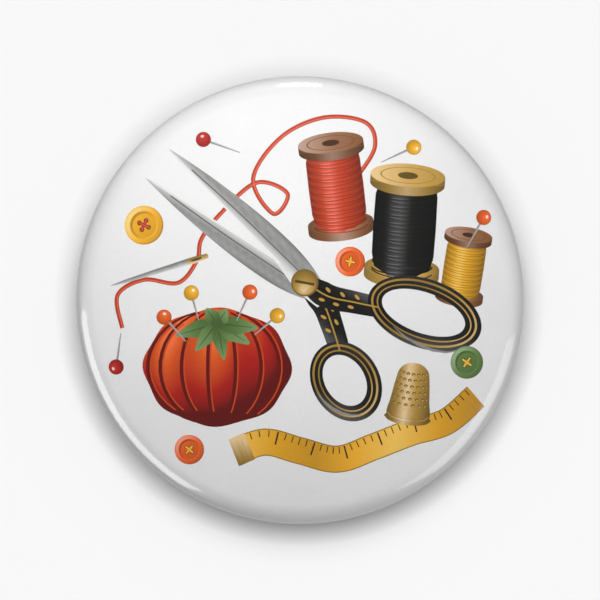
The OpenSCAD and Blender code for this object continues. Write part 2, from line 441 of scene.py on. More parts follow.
def draw_shears(sheet, inks, x, y, turn):
    """Tailor's shears, a little open: steel blades and black japanned bows with gold lines."""
    black = tuple(inks.black)
    gold = tuple(inks.gold)
    steel = tuple(inks.steel)
    gloss = shades(black, 0.34, 0, -0.4, 0, 0.16)
    for side, opening in ((1, 5.5), (-1, -5.5)):
        blade = sheet.motif(x, y, turn + opening)
        back = [(-3.4, 0.9), (0, 2.0), (4, 2.45), (10, 2.25), (17, 1.45), (22.5, 0.5), (24.6, 0.05)]
        edge = [(22.5, -0.12), (14, -0.35), (5, -0.6), (0, -1.5), (-3.4, -1.1)]
        outline = [(px, side * py) for px, py in smooth(back, closed=False) + edge]
        shine = shades(steel, 0.75, 0.35, -0.25, 0.1, -0.5)
        blade.lay([outline], across(shine, 0, side * -0.6, 0, side * 2.5))
        line = [(1.5, side * 0.55), (12, side * 0.5), (20.5, side * 0.2)]
        blade.lay(ribbon(smooth(line, closed=False, steps=10), 0.09), tone(steel, -0.55))
        ground = [(4, side * -0.58), (13.5, side * -0.34), (23.4, side * -0.02)]
        rim = ribbon(ground, lambda s: 0.24 * (1 - 0.6 * s), 0.0) if side > 0 else \
            ribbon(ground, 0.0, lambda s: -0.24 * (1 - 0.6 * s))
        blade.lay(rim, tone(steel, 0.82))
        bow = sheet.motif(x, y, turn - opening)
        if side > 0:
            stem = [(0.2, 0.1), (-3.4, 0.2), (-6.4, 1.5), (-9.2, 3.0)]
            ring = (-12.6, 5.3, 5.4, 4.3, math.radians(-14), 3.5, 2.55)
        else:
            stem = [(0.2, -0.1), (-3.4, -0.2), (-6.6, -1.4), (-9.6, -2.6)]
            ring = (-15.0, -5.2, 7.6, 4.4, math.radians(14), 5.6, 2.6)
        rx, ry, wide, high, lean, hole_wide, hole_high = ring
        stem_line = smooth(stem, closed=False, steps=9)
        bow.lay(ribbon(stem_line, lambda s: 0.9 + 0.8 * min(1, 4 * s) - 0.4 * s),
                across(gloss, 0, 3.2 * side, 0, -2.4 * side))
        bow.lay([ellipse(rx, ry, wide, high, lean, 64)], across(gloss, rx - 2, ry + high, rx + 2, ry - high),
                [ellipse(rx + 0.2, ry, hole_wide, hole_high, lean, 48)])
        mid = (wide + hole_wide) / 2
        rise = (high + hole_high) / 2
        for grow, width in ((0.35, 0.14), (-0.32, 0.09)):
            bow.lay([ellipse(rx + 0.1, ry, mid + grow + width, rise + grow + width, lean, 64)],
                    across(shades(gold, 0.4, 0, -0.35, 0), rx - wide, ry, rx + wide, ry),
                    [ellipse(rx + 0.1, ry, mid + grow - width, rise + grow - width, lean, 64)])
        glint = [(rx + wide * 0.9 * math.cos(a), ry + high * 0.88 * math.sin(a))
                 for a in (1.2, 1.5, 1.8, 2.1, 2.4, 2.7)]
        bow.lay(ribbon(glint, lambda s: 0.16 * math.sin(math.pi * s) + 0.02), tone(black, 0.55))
        bow.lay(ribbon(stem_line[4:], 0.1), gold)
        for share in (0.3, 0.5, 0.7):
            px, py = stem_line[int(share * (len(stem_line) - 1))]
            for lift in (0.75, -0.75):
                bow.lay([ellipse(px, py + lift, 0.42, 0.2, math.radians(20 * lift), 14)], tone(gold, 0.1))
    pivot = sheet.motif(x, y, turn)
    pivot.lay([ellipse(0, 0, 1.75, 1.75)], tone(gold, -0.55))
    pivot.lay([ellipse(0, 0.05, 1.5, 1.5)], around(shades(gold, 0.65, 0, -0.45), -0.5, 0.6, 2.0))
    pivot.lay(ribbon([(-1.1, -0.6), (1.1, 0.6)], 0.17), tone(gold, -0.8))


def draw_spool(sheet, inks, x, y, turn, size, thread, ends):
    """A wound spool standing up: turned ends, and thread in slightly crossing turns."""
    spool = sheet.motif(x, y, turn, size)
    body = shades(thread, -0.5, -0.1, 0.28, 0, -0.3, -0.62)
    wood = shades(ends, -0.5, 0, 0.45, 0.1, -0.55)
    spool.lay([ellipse(0, -5.9, 4.3, 1.35)], across(wood, -4.3, 0, 4.3, 0))
    spool.lay([[(-4.3, -5.9), (4.3, -5.9), (4.3, -4.9), (-4.3, -4.9)]], across(wood, -4.3, 0, 4.3, 0))
    spool.lay([ellipse(0, -4.9, 4.3, 1.35)], across([tone(c, 0.12) for c in wood], -4.3, 0, 4.3, 0))
    sides = [(-3.2, -4.9), (-3.55, -3.4), (-3.6, 0), (-3.55, 3.4), (-3.1, 4.9), (3.1, 4.9), (3.55, 3.4),
             (3.6, 0), (3.55, -3.4), (3.2, -4.9), (1.8, -5.75), (0, -6.0), (-1.8, -5.75)]
    spool.lay([sides], across(body, -3.6, 0, 3.6, 0))
    for turn_number in range(21):
        height = 4.2 - turn_number * 0.47
        slant = 0.16 if turn_number % 2 else -0.12
        line = []
        for i in range(13):
            u = -0.985 + 1.97 * i / 12
            line.append((3.55 * u, height - 0.95 * math.sqrt(1 - u * u) + slant * u))
        spool.lay(ribbon(line, 0.07), across([tone(c, -0.42) for c in body], -3.6, 0, 3.6, 0))
        spool.lay(ribbon(line[3:8], 0.21, 0.1), across(shades(thread, 0, 0.45, 0), -2.2, 0, 0.4, 0))
    spool.lay([ellipse(0, 4.7, 4.3, 1.35)], across([tone(c, -0.35) for c in wood], -4.3, 0, 4.3, 0))
    spool.lay([[(-4.3, 4.7), (4.3, 4.7), (4.3, 5.7), (-4.3, 5.7)]], across(wood, -4.3, 0, 4.3, 0))
    spool.lay([ellipse(0, 5.7, 4.3, 1.35)], across(shades(ends, 0.5, 0.22, 0), -4.3, 0.6, 4.3, 0))
    spool.lay([ellipse(0, 5.7, 3.2, 0.95)], tone(ends, -0.12), [ellipse(0, 5.7, 3.0, 0.87)])
    spool.lay([ellipse(0, 5.68, 1.15, 0.4)], tone(ends, -0.72))


def draw_pincushion(sheet, inks, x, y, size):
    """A round red pincushion in eight gathered parts, with a green felt star on top."""
    cushion = sheet.motif(x, y, 0, size)
    red = tuple(inks.red)
    orange = tuple(inks.orange)
    green = tuple(inks.green)
    outline = []
    for i in range(96):
        a = 2 * math.pi * i / 96
        bulge = 1 + 0.022 * math.cos(8 * a + 0.4)
        outline.append((9.4 * bulge * math.cos(a), 7.5 * bulge * math.sin(a)))

    def cloth(px, py):
        u = px / 9.6
        v = py / 7.7
        up = math.sqrt(max(0.0, 1 - u * u - v * v))
        light = max(0.0, -0.42 * u + 0.62 * v + 0.66 * up)
        lean = px / max(0.5, 9.6 * math.sqrt(max(0.02, 1 - v * v)))
        part = 0.5 + 0.5 * math.cos(8 * math.asin(min(max(lean, -1), 1)) + 0.3)
        light *= 0.72 + 0.34 * part
        return ink_at([tone(red, -0.72), tone(red, -0.32), red, mix_inks(red, orange, 0.45),
                       mix_inks(red, orange, 0.9), tone(orange, 0.25)], light)
    cushion.lay([outline], cloth)
    for lean in (-1.32, -0.92, -0.52, -0.13, 0.26, 0.66, 1.05):
        seam = []
        for i in range(17):
            v = math.radians(72 - 152 * i / 16)
            seam.append((9.2 * math.sin(lean) * math.cos(v), 7.35 * math.sin(v)))
        cushion.lay(ribbon(seam, lambda s: 0.1 + 0.13 * math.sin(math.pi * s)), tone(red, -0.7))
        cushion.lay(ribbon(seam[2:14], 0.42, 0.24), mix_inks(red, orange, 0.55))
    leaves = ((5.6, 200), (5.2, 238), (5.9, 279), (5.3, 322), (5.3, 352), (2.6, 60), (2.8, 120))
    leaf_sides = ((0.35, -1.0), (0.75, -0.6), (1.0, 0.0), (0.75, 0.6), (0.35, 1.0))
    for i, (reach, lean) in enumerate(leaves):
        a = math.radians(lean)
        dx = math.cos(a)
        dy = math.sin(a) * 0.8
        wide = 1.15
        leaf = smooth([(-0.3 * dx, 5.6 - 0.3 * dy)] + [
            (reach * out * dx + side * wide * dy, 5.6 + reach * out * dy - side * wide * dx)
            for out, side in leaf_sides])
        shade = 0.18 if i % 2 else -0.05
        cushion.lay([leaf], across(shades(green, -0.45, shade, 0.3),
                                   0, 5.6, reach * dx, 5.6 + reach * dy))
        vein = [(0, 5.6), (reach * 0.86 * dx, 5.6 + reach * 0.86 * dy)]
        cushion.lay(ribbon(vein, lambda s: 0.1 - 0.07 * s), tone(green, -0.55))
    cushion.lay([ellipse(0, 5.6, 0.8, 0.6)], tone(green, -0.4))


def draw_pin(sheet, inks, x, y, turn, length, head):
    """A ball-headed pin: x, y is the middle of its head."""
    pin = sheet.motif(x, y, turn)
    steel = tuple(inks.steel)
    pin.lay(ribbon([(0, 0), (length * 0.6, 0), (length, 0)], lambda s: 0.17 - 0.11 * s),
            across([tone(steel, 0.4), tone(steel, -0.5)], 0, 0.15, 0, -0.15))
    pin.lay([ellipse(0, 0, 0.98, 0.98, 0, 26)], tone(head, -0.5))
    pin.lay([ellipse(0, 0, 0.92, 0.92, 0, 26)], around(shades(head, 0.25, 0, -0.35), -0.2, 0.3, 1.3))
    pin.lay([ellipse(-0.28, 0.34, 0.22, 0.17, 0.6, 12)], tone(head, 0.85))


def draw_button(sheet, x, y, radius, turn, colour, thread):
    """A four-hole button with a raised rim, sewn with a cross."""
    button = sheet.motif(x, y, turn, radius)
    button.lay([ellipse(0, 0, 1, 1, 0, 48)], across(shades(colour, 0.35, 0, -0.5), -0.7, 0.8, 0.7, -0.8))
    button.lay([ellipse(0, 0, 0.93, 0.93, 0, 48)],
               across(shades(colour, 0.55, 0.15, -0.2), -0.7, 0.8, 0.7, -0.8),
               [ellipse(0, 0, 0.72, 0.72, 0, 40)])
    button.lay([ellipse(0, 0, 0.72, 0.72, 0, 40)],
               across(shades(colour, -0.5, -0.15, 0.25), -0.6, 0.7, 0.6, -0.7))
    button.lay([ellipse(0.02, -0.03, 0.62, 0.62, 0, 40)],
               across(shades(colour, 0.12, 0, -0.12), -0.5, 0.6, 0.5, -0.6))
    for a in (45, 135, 225, 315):
        px = 0.26 * math.cos(math.radians(a))
        py = 0.26 * math.sin(math.radians(a))
        button.lay([ellipse(px, py, 0.125, 0.125, 0, 16)], tone(colour, -0.82))
    for slope in (1, -1):
        button.lay(ribbon([(-0.24, -0.24 * slope), (0.24, 0.24 * slope)], 0.075), tone(thread, -0.15))
        button.lay(ribbon([(-0.24, -0.24 * slope), (0.24, 0.24 * slope)], 0.03), tone(thread, 0.35))


def draw_tape(sheet, inks, line):
    """A measuring tape in loose waves: a plain scale of short and long ticks, with a brass end."""
    tape = sheet.motif(0, 0)
    yellow = tuple(inks.yellow)
    gold = tuple(inks.gold)
    path = smooth(line, closed=False, steps=14)
    wave = shades(yellow, 0.3, 0, -0.2, 0.12, 0.35, 0, -0.3)
    tape.lay(ribbon(path, 1.75), tone(yellow, -0.62))
    tape.lay(ribbon(path, 1.62), across(wave, line[0][0], 0, line[-1][0], 0))
    run = 0.0
    count = 0
    mark = 0.9
    for a, b in zip(path, path[1:]):
        length = math.hypot(b[0] - a[0], b[1] - a[1])
        while run + length > mark:
            share = (mark - run) / length
            px = a[0] + (b[0] - a[0]) * share
            py = a[1] + (b[1] - a[1]) * share
            nx = -(b[1] - a[1]) / length
            ny = (b[0] - a[0]) / length
            depth = 1.7 if count % 5 == 0 else 0.85
            top = (px + nx * 1.55, py + ny * 1.55)
            foot = (px + nx * (1.55 - depth), py + ny * (1.55 - depth))
            tape.lay(ribbon([top, foot], 0.1 if count % 5 == 0 else 0.065), tuple(inks.black))
            mark += 0.95
            count += 1
        run += length
    tape.lay(ribbon(path[:9], 1.85), across(shades(gold, 0.55, 0, -0.4), path[0][0], path[0][1] + 1.5,
                                            path[0][0], path[0][1] - 1.5))


def draw_thimble(sheet, inks, x, y, turn, size):
    """A brass thimble: dimpled sides, a domed top and a rolled brim."""
    thimble = sheet.motif(x, y, turn, size)
    gold = tuple(inks.gold)
    shine = shades(gold, -0.6, -0.1, 0.6, 0.1, -0.25, -0.65)
    side = smooth([(-3.3, -3.4), (-3.0, -1), (-2.6, 2.0), (-2.2, 3.6), (-1.2, 4.5), (0, 4.75), (1.2, 4.5),
                   (2.2, 3.6), (2.6, 2.0), (3.0, -1), (3.3, -3.4), (1.8, -4.15), (0, -4.35), (-1.8, -4.15)])
    thimble.lay([side], across(shine, -3.2, 0, 3.2, 0))
    for row in range(6):
        height = 3.4 - row * 0.95
        half = 2.15 + 0.14 * row
        for i in range(7):
            u = math.sin(math.radians(-66 + 22 * i + (11 if row % 2 else 0)))
            if abs(u) > 0.93:
                continue
            narrow = 0.26 * math.sqrt(1 - u * u) + 0.05
            dip = height - 0.45 * math.sqrt(1 - u * u)
            thimble.lay([ellipse(half * u, dip, narrow, 0.24, 0, 12)], tone(gold, -0.62))
            thimble.lay([ellipse(half * u + 0.04, dip - 0.08, narrow * 0.6, 0.13, 0, 10)], tone(gold, 0.25))
    brim = []
    for i in range(13):
        u = -1 + 2 * i / 12
        brim.append((3.3 * u, -3.4 - 0.95 * math.sqrt(1 - u * u)))
    thimble.lay(ribbon(brim, 0.5), across([tone(c, -0.1) for c in shine], -3.2, 0, 3.2, 0))
    thimble.lay(ribbon(brim, 0.3, 0.12), across(shades(gold, 0, 0.8, 0), -2.4, 0, 1.0, 0))


def draw_needle(sheet, inks, x, y, turn, length):
    """A sewing needle: x, y is its eye and turn points to its tip."""
    needle = sheet.motif(x, y, turn)
    steel = tuple(inks.steel)
    gold = tuple(inks.gold)
    shaft = [(-1.6, 0), (-0.8, 0), (0.6, 0), (length * 0.5, 0), (length * 0.85, 0), (length, 0)]
    widths = (0.16, 0.4, 0.42, 0.32, 0.2, 0.03)

    def half(share):
        spot = min(max(share * 5, 0), 5)
        index = min(int(spot), 4)
        return widths[index] + (widths[index + 1] - widths[index]) * (spot - index)
    needle.lay(ribbon(shaft, half), across(shades(steel, 0.7, 0, -0.55), 0, 0.4, 0, -0.4))
    needle.lay(ribbon([(-1.5, 0), (-0.8, 0), (0.5, 0), (1.3, 0)], lambda s: 0.36 - 0.1 * abs(s - 0.4)),
               across(shades(gold, 0.6, 0, -0.45), 0, 0.4, 0, -0.4))
    needle.lay([ellipse(0, 0, 0.75, 0.15, 0, 18)], tone(gold, -0.8))


def draw_thread(sheet, colour, line):
    """A loose thread: a soft round strand with a light side."""
    strand = sheet.motif(0, 0)
    path = smooth(line, closed=False, steps=10)
    strand.lay(ribbon(path, 0.27), tone(colour, -0.42))
    strand.lay(ribbon(path, 0.2), colour)
    strand.lay(ribbon(path, 0.14, 0.02), tone(colour, 0.35))


def draw_sewing_things(inks):
    """The whole print, from back to front, on bare paper."""
    sheet = Sheet()
    red = tuple(inks.red)
    orange = tuple(inks.orange)
    yellow = tuple(inks.yellow)
    green = tuple(inks.green)
    black = tuple(inks.black)
    gold = tuple(inks.gold)
    wood = tuple(inks.wood)
    draw_tape(sheet, inks, [(-8.5, -19.6), (-4.5, -18.2), (0, -19.3), (4.8, -20.4), (9.5, -18.8),
                            (14.2, -17.0), (18.8, -15.6), (22.6, -12.4)])
    scarlet = mix_inks(red, orange, 0.35)
    draw_thread(sheet, scarlet, [(7.2, 15.6), (9.6, 19.6), (8.4, 22.8), (3.0, 23.4), (-2.5, 20.8),
                                 (-6.0, 15.5), (-3.4, 11.0), (-1.6, 13.6), (-5.6, 15.0), (-10.2, 11.0),
                                 (-12.6, 7.8), (-13.2, 5.0), (-15.6, 2.2), (-20.0, 2.6), (-23.4, 0.6),
                                 (-22.8, -3.6)])
    draw_spool(sheet, inks, 4.6, 14.6, 7, 0.98, scarlet, wood)
    draw_spool(sheet, inks, 21.0, 4.3, -9, 0.72, yellow, wood)
    draw_spool(sheet, inks, 13.4, 9.6, -4, 1.12, black, gold)
    draw_shears(sheet, inks, 0.6, 2.2, 141)
    draw_needle(sheet, inks, -13.25, 5.2, 197, 11.5)
    draw_pincushion(sheet, inks, -10.6, -8.6, 1.0)
    for x, y, turn, length, head in ((-13.9, 0.9, -75, 3.6, yellow), (-6.4, 1.0, -115, 4.0, orange),
                                     (-17.4, -2.2, -48, 4.2, orange), (-2.9, -2.0, -140, 3.8, yellow)):
        draw_pin(sheet, inks, x, y, turn, length, head)
    draw_thimble(sheet, inks, 14.2, -12.0, -8, 0.84)
    draw_button(sheet, -20.0, 9.6, 2.5, 20, yellow, red)
    draw_button(sheet, 21.4, -8.0, 2.1, 10, green, yellow)
    draw_button(sheet, 6.4, 4.9, 1.9, 33, orange, yellow)
    draw_button(sheet, -14.2, -19.2, 1.9, 5, orange, yellow)
    for x, y, turn, length, head in ((-12.4, 20.6, -20, 5.0, red), (14.6, 19.6, 205, 4.6, yellow),
                                     (23.6, 10.6, 240, 4.4, orange), (-23.6, -8.6, 82, 4.4, red)):
        draw_pin(sheet, inks, x, y, turn, length, head)
    return sheet


def facing_left(outline):
    """The outline, turned so that it runs anticlockwise."""
    area = sum(a[0] * b[1] - b[0] * a[1] for a, b in zip(outline, outline[1:] + outline[:1]))
    return outline if area > 0 else outline[::-1]


def circle(reach, count):
    """Points round a circle about the middle."""
    return [(reach * math.cos(2 * math.pi * i / count), reach * math.sin(2 * math.pi * i / count))
            for i in range(count)]


def drawing_outlines(sheet, edge, white):
    """The rim and every outline of the drawing: points, loops, the owner of each loop, and inks."""
    points = circle(edge, ROUND)
    loops = [list(range(ROUND))]
    owners = [(0, False)]
    inks_of = [lambda x, y: white]
    for solid, cut, ink in sheet.patches:
        number = len(inks_of)
        inks_of.append(ink)
        for outlines, is_hole in ((solid, False), (cut, True)):
            for outline in outlines:
                loops.append(list(range(len(points), len(points) + len(outline))))
                points += facing_left(outline)
                owners.append((number, is_hole))
    return points, loops, owners, inks_of


def dome_and_roll_points(face, edge):
    """Points that carry the shape under the drawing: an even net on the dome, and rings on the roll."""
    points = []
    row_step = DOME_STEP * 0.866
    rows = int(face / row_step) + 1
    for row in range(-rows, rows + 1):
        for column in range(-rows, rows + 1):
            x = DOME_STEP * (column + (0.5 if row % 2 else 0.0))
            if math.hypot(x, row_step * row) < face - 0.3:
                points.append((x, row_step * row))
    half_ring = ROUND // 2
    for ring in range(ROLL_RINGS):
        reach = face + (edge - face) * ring / ROLL_RINGS
        for i in range(half_ring):
            a = 2 * math.pi * (i + 0.5 * (ring % 2)) / half_ring
            points.append((reach * math.cos(a), reach * math.sin(a)))
    return points


# ---------------------------------------------------------------- materials


def add_node(tree, kind, settings=None, values=None, links=None):
    """Adds one node with its settings, socket values and links."""
    node = tree.nodes.new(kind)
    for name, value in (settings or {}).items():
        setattr(node, name, value)
    for name, value in (values or {}).items():
        node.inputs[name].default_value = value
    for name, source in (links or {}).items():
        tree.links.new(source, node.inputs[name])
    return node


def new_material(name):
    """An empty node material."""
    material = bpy.data.materials.new(name)
    material.use_nodes = True
    material.node_tree.nodes.clear()
    return material, material.node_tree


def offset_printed_coated_paper():
    """Coated paper, offset printed: smooth ink with a faint mottle, and a slight gloss of its own."""
    material, tree = new_material("offset_printed_coated_paper")
    place = add_node(tree, "ShaderNodeTexCoord")
    ink = add_node(tree, "ShaderNodeAttribute", {"attribute_name": "ink"})
    # Ink mottle changes the tone by a few hundredths, drawn 0.4 mm across: real mottle is about half that.
    mottle = add_node(tree, "ShaderNodeTexNoise", None, {"Scale": 1 / (0.4 * MM), "Detail": 3.0},
                      {"Vector": place.outputs["Object"]})
    spread = add_node(tree, "ShaderNodeMapRange", None, {"To Min": 0.94, "To Max": 1.05},
                      {"Value": mottle.outputs["Fac"]})
    # The press lays ink a little unevenly over some 9 mm.
    press = add_node(tree, "ShaderNodeTexNoise", None, {"Scale": 1 / (9 * MM), "Detail": 1.0},
                     {"Vector": place.outputs["Object"]})
    lay = add_node(tree, "ShaderNodeMapRange", None, {"To Min": 0.975, "To Max": 1.02},
                   {"Value": press.outputs["Fac"]})
    tones = add_node(tree, "ShaderNodeMath", {"operation": "MULTIPLY"}, None,
                     {0: spread.outputs["Result"], 1: lay.outputs["Result"]})
    colour = add_node(tree, "ShaderNodeVectorMath", {"operation": "SCALE"}, None,
                      {0: ink.outputs["Color"], "Scale": tones.outputs["Value"]})
    # Paper fibres show as a very shallow tooth, drawn 0.12 mm wide: coarser than real ones, of some 0.03 mm.
    fibres = add_node(tree, "ShaderNodeTexNoise", None, {"Scale": 1 / (0.12 * MM), "Detail": 2.0},
                      {"Vector": place.outputs["Object"]})
    tooth = add_node(tree, "ShaderNodeBump", None, {"Strength": 0.15, "Distance": 0.01 * MM},
                     {"Height": fibres.outputs["Fac"]})
    gloss = add_node(tree, "ShaderNodeMapRange", None, {"To Min": 0.34, "To Max": 0.46},
                     {"Value": mottle.outputs["Fac"]})
    shader = add_node(tree, "ShaderNodeBsdfPrincipled", None,
                      {"IOR": 1.5, "Coat Weight": 0.25, "Coat Roughness": 0.08},
                      {"Base Color": colour.outputs["Vector"], "Roughness": gloss.outputs["Result"],
                       "Normal": tooth.outputs["Normal"]})
    add_node(tree, "ShaderNodeOutputMaterial", None, None, {"Surface": shader.outputs["BSDF"]})
    return material


def cast_clear_polyester_film():
    """Clear polyester film, drawn tight: hardly seen face on, with sharp gloss that grows at the rim."""
    material, tree = new_material("cast_clear_polyester_film")
    place = add_node(tree, "ShaderNodeTexCoord")
    # The film is a little wavy over some 7 mm, so that edges of a reflection aren't ruled straight.
    waves = add_node(tree, "ShaderNodeTexNoise", None, {"Scale": 1 / (7 * MM), "Detail": 1.0},
                     {"Vector": place.outputs["Object"]})
    peel = add_node(tree, "ShaderNodeBump", None, {"Strength": 0.2, "Distance": 0.05 * MM},
                    {"Height": waves.outputs["Fac"]})
    # Fine rub marks, about 0.3 mm, only soften the gloss.
    rubs = add_node(tree, "ShaderNodeTexNoise", None, {"Scale": 1 / (0.3 * MM), "Detail": 4.0},
                    {"Vector": place.outputs["Object"]})
    soft = add_node(tree, "ShaderNodeMapRange", None, {"To Min": 0.05, "To Max": 0.12},
                    {"Value": rubs.outputs["Fac"]})
    shine = add_node(tree, "ShaderNodeBsdfAnisotropic", {"distribution": "GGX"}, {"Color": (1, 1, 1, 1)},
                     {"Roughness": soft.outputs["Result"], "Normal": peel.outputs["Normal"]})
    clear = add_node(tree, "ShaderNodeBsdfTransparent", None, {"Color": (0.99, 0.99, 0.99, 1)})
    edge = add_node(tree, "ShaderNodeFresnel", None, {"IOR": 1.5}, {"Normal": peel.outputs["Normal"]})
    side = add_node(tree, "ShaderNodeNewGeometry")
    outer = add_node(tree, "ShaderNodeMath", {"operation": "SUBTRACT"}, {0: 1.0},
                     {1: side.outputs["Backfacing"]})
    share = add_node(tree, "ShaderNodeMath", {"operation": "MULTIPLY"}, None,
                     {0: edge.outputs["Fac"], 1: outer.outputs["Value"]})
    film = add_node(tree, "ShaderNodeMixShader", None, None,
                    {0: share.outputs["Value"], 1: clear.outputs["BSDF"], 2: shine.outputs["BSDF"]})
    add_node(tree, "ShaderNodeOutputMaterial", None, None, {"Surface": film.outputs["Shader"]})
    return material


def drawn_metal(name, colour, roughness, lines, crevice_shade):
    """Bright metal with fine lines along lines (millimetres per axis), and painted shade that darkens it
    towards grey-brown in its corners and crevices.
    """
    material, tree = new_material(name)
    place = add_node(tree, "ShaderNodeTexCoord")
    stretch = add_node(tree, "ShaderNodeVectorMath", {"operation": "MULTIPLY"},
                       {1: tuple(1 / (size * MM) for size in lines)}, {0: place.outputs["Object"]})
    grain = add_node(tree, "ShaderNodeTexNoise", None, {"Scale": 1.0, "Detail": 4.0, "Roughness": 0.6},
                     {"Vector": stretch.outputs["Vector"]})
    # Handling leaves cloudy patches about 4 mm across.
    clouds = add_node(tree, "ShaderNodeTexNoise", None, {"Scale": 1 / (4 * MM), "Detail": 3.0},
                      {"Vector": place.outputs["Object"]})
    # Painted shade: an occlusion test darkens the colour towards grey-brown where near surfaces close a spot
    # in, in corners and crevices.
    crevice = add_node(tree, "ShaderNodeAmbientOcclusion", {"samples": 6}, {"Distance": 0.9 * MM})
    painted_crevice_shade = add_node(tree, "ShaderNodeMapRange", None,
                    {"From Min": 0.25, "From Max": 0.85, "To Min": crevice_shade, "To Max": 0.0},
                    {"Value": crevice.outputs["AO"]})
    lines_tone = add_node(tree, "ShaderNodeMapRange", None, {"To Min": 0.9, "To Max": 1.06},
                          {"Value": grain.outputs["Fac"]})
    plain = add_node(tree, "ShaderNodeVectorMath", {"operation": "SCALE"}, {0: tuple(colour)},
                     {"Scale": lines_tone.outputs["Result"]})
    crevice_shaded = add_node(tree, "ShaderNodeMix", {"data_type": "RGBA"}, {7: (*linear("#6F675C"), 1)},
                       {0: painted_crevice_shade.outputs["Result"], 6: plain.outputs["Vector"]})
    worn = add_node(tree, "ShaderNodeMapRange", None,
                    {"From Min": 0.3, "From Max": 0.7,
                     "To Min": roughness - 0.03, "To Max": roughness + 0.05},
                    {"Value": clouds.outputs["Fac"]})
    relief = add_node(tree, "ShaderNodeBump", None, {"Strength": 0.25, "Distance": 0.01 * MM},
                      {"Height": grain.outputs["Fac"]})
    shader = add_node(tree, "ShaderNodeBsdfPrincipled", None, {"Metallic": 1.0},
                      {"Base Color": crevice_shaded.outputs[2], "Roughness": worn.outputs["Result"],
                       "Normal": relief.outputs["Normal"]})
    add_node(tree, "ShaderNodeOutputMaterial", None, None, {"Surface": shader.outputs["BSDF"]})
    return material


def matt_backdrop_board(colour):
    """Matt board, seen only from its front: even, but for painted shade and a painted shadow round what
    stands on it.
    """
    material, tree = new_material("matt_backdrop_board")
    # Painted shade: the paint greys a little where things stand on it, to even out the light their sides
    # throw back.
    reached = add_node(tree, "ShaderNodeAmbientOcclusion", {"samples": 12}, {"Distance": 15 * MM})
    shade = add_node(tree, "ShaderNodeMapRange", None, {"To Min": 0.76, "To Max": 1.0},
                     {"Value": reached.outputs["AO"]})
    # Painted shadow: the paint darkens within some 4 mm of them, most below, as if soft light from all
    # round, a little from above, were held off there.
    upwards = add_node(tree, "ShaderNodeCombineXYZ", None, {"X": 0.02, "Y": -0.89, "Z": 0.45})
    held = add_node(tree, "ShaderNodeAmbientOcclusion", {"samples": 12}, {"Distance": 4.4 * MM},
                    {"Normal": upwards.outputs["Vector"]})
    painted_shadow = add_node(tree, "ShaderNodeMapRange", None, {"From Min": 0.06, "To Min": 0.0, "To Max": 1.0},
                    {"Value": held.outputs["AO"]})
    painted_shade_and_shadow = add_node(tree, "ShaderNodeMath", {"operation": "MULTIPLY"}, None,
                    {0: shade.outputs["Result"], 1: painted_shadow.outputs["Result"]})
    tint = add_node(tree, "ShaderNodeVectorMath", {"operation": "SCALE"}, {0: colour},
                    {"Scale": painted_shade_and_shadow.outputs["Value"]})
    paint = add_node(tree, "ShaderNodeBsdfDiffuse", None, None, {"Color": tint.outputs["Vector"]})
    clear = add_node(tree, "ShaderNodeBsdfTransparent")
    side = add_node(tree, "ShaderNodeNewGeometry")
    board = add_node(tree, "ShaderNodeMixShader", None, None,
                     {0: side.outputs["Backfacing"], 1: paint.outputs["BSDF"], 2: clear.outputs["BSDF"]})
    add_node(tree, "ShaderNodeOutputMaterial", None, None, {"Surface": board.outputs["Shader"]})
    return material


# ---------------------------------------------------------------- operators


